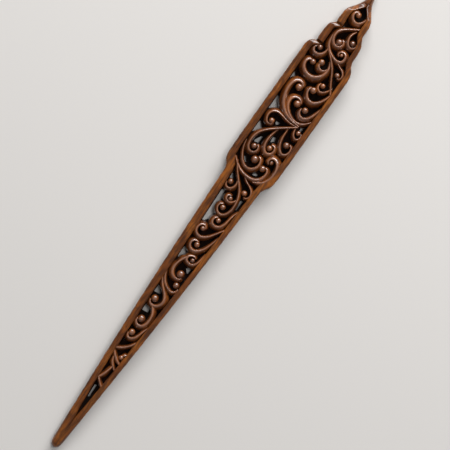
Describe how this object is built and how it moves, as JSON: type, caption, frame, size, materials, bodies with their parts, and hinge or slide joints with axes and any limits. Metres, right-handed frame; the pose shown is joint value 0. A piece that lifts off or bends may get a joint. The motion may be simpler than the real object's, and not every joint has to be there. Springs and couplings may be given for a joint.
{
  "type": "hair pin",
  "caption": "Carved wooden hair stick: a slim tapering frame with a stepped, pierced head full of scrollwork, an ogee finial and a rounded point.",
  "frame": {"origin": "centre of the bounding box, on the flat back face", "axes": "+Y along the pin from the point to the finial, +X to the right seen from above the carved face, +Z out of the carved face"},
  "size_m": [0.0184, 0.18, 0.0048],
  "materials": {
    "stained_wood": "semi-gloss lacquer over a reddish-brown stain, dark in the carving",
    "dark_ground": "the same wood under a near-black stain, left dull"
  },
  "bodies": {
    "root": {"basket_curl": "stained_wood", "basket_handle": "stained_wood", "basket_volute": "stained_wood", "blade_curl_1": "stained_wood", "blade_curl_10": "stained_wood", "blade_curl_2": "stained_wood", "blade_curl_3": "stained_wood", "blade_curl_4": "stained_wood", "blade_curl_5": "stained_wood", "blade_curl_6": "stained_wood", "blade_curl_7": "stained_wood", "blade_curl_8": "stained_wood", "blade_curl_9": "stained_wood", "blade_ground": "dark_ground", "crest_teardrop": "stained_wood", "crest_vine": "stained_wood", "crest_volute": "stained_wood", "crossing_stem": "stained_wood", "fan_back_curl": "stained_wood", "fan_knot_curl": "stained_wood", "fan_middle_curl": "stained_wood", "fan_right_curl": "stained_wood", "fan_spine": "stained_wood", "finial": "stained_wood", "finial_scroll": "stained_wood", "head_ground": "dark_ground", "heart_curl": "stained_wood", "heart_volute": "stained_wood", "hook_curl": "stained_wood", "inner_volute": "stained_wood", "left_rail": "stained_wood", "left_shoulder_curl": "stained_wood", "lower_bar": "stained_wood", "lower_cradle": "stained_wood", "middle_bar": "stained_wood", "neck_curl_left": "stained_wood", "neck_curl_right": "stained_wood", "neck_vine": "stained_wood", "point": "stained_wood", "right_rail": "stained_wood", "right_shoulder_curl": "stained_wood", "slot_bar": "stained_wood", "slot_stem": "stained_wood", "tall_volute": "stained_wood", "upper_bar": "stained_wood", "upper_cradle": "stained_wood", "vine_curl": "stained_wood"}
  },
  "joints": []
}
